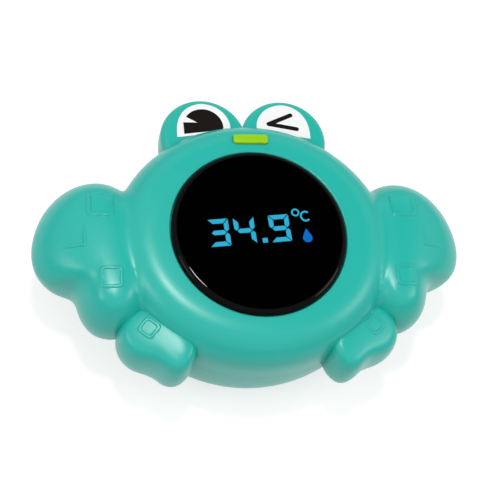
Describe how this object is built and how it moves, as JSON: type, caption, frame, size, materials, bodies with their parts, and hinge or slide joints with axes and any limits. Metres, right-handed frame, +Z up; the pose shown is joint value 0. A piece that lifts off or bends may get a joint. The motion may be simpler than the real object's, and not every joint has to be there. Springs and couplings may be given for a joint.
{
  "type": "baby bath thermometer",
  "caption": "Floating bath thermometer in the shape of a winking frog on its back, with a round lit touch display, two moulded shells and a battery bay.",
  "frame": {"origin": "middle of the flat base, under the centre of the round display", "axes": "+Z up out of the display, +X towards the right arm as seen with the eyes at the top, +Y towards the eyes"},
  "size_m": [0.1268, 0.0863, 0.038],
  "materials": {
    "teal_plastic": "satin moulded plastic",
    "smoked_lens": "glossy smoked plastic",
    "black_tape": "foam tape",
    "white_plastic": "satin",
    "black_ink": "satin inlay",
    "lime_plastic": "satin",
    "black_plastic": "matt",
    "blue_glow": "lit light guide",
    "deep_blue_glow": "lit light guide",
    "green_board": "solder mask",
    "steel": "bright",
    "spring_steel": "plain",
    "buzzer_case": "moulded",
    "grey_rubber": "soft",
    "epoxy": "cured resin",
    "cell_sleeve": "printed sleeve"
  },
  "bodies": {
    "root": {"front_shell": "teal_plastic", "rear_shell": "teal_plastic", "battery_door": "teal_plastic", "seal_cord": "grey_rubber", "door_seal": "grey_rubber", "display_lens": "smoked_lens", "lens_tape": "black_tape", "mouth_inlay": "lime_plastic", "eye_white_right": "white_plastic", "eye_white_left": "white_plastic", "pupil_left": "black_ink", "wink_right": "black_ink", "display_block": "black_plastic", "digit_3": "blue_glow", "digit_4": "blue_glow", "digit_9": "blue_glow", "decimal_point": "blue_glow", "degree_ring": "blue_glow", "letter_c": "blue_glow", "water_drop": "deep_blue_glow", "circuit_board": "green_board", "board_screw_1": "steel", "board_screw_2": "steel", "board_screw_3": "steel", "buzzer": "buzzer_case", "controller_chip": "black_plastic", "touch_spring": "spring_steel", "door_screw": "steel", "case_screw_arm_right": "steel", "case_screw_arm_left": "steel", "case_screw_leg_right": "steel", "case_screw_leg_left": "steel", "battery_front": "cell_sleeve", "battery_back": "cell_sleeve", "battery_front_spring": "spring_steel", "battery_back_spring": "spring_steel", "contact_plate_left": "steel", "contact_plate_plus": "steel", "contact_plate_minus": "steel", "sensor_cap": "steel", "sensor_bead": "epoxy", "sensor_potting": "epoxy", "water_contact_right": "steel", "water_contact_left": "steel"}
  },
  "joints": []
}
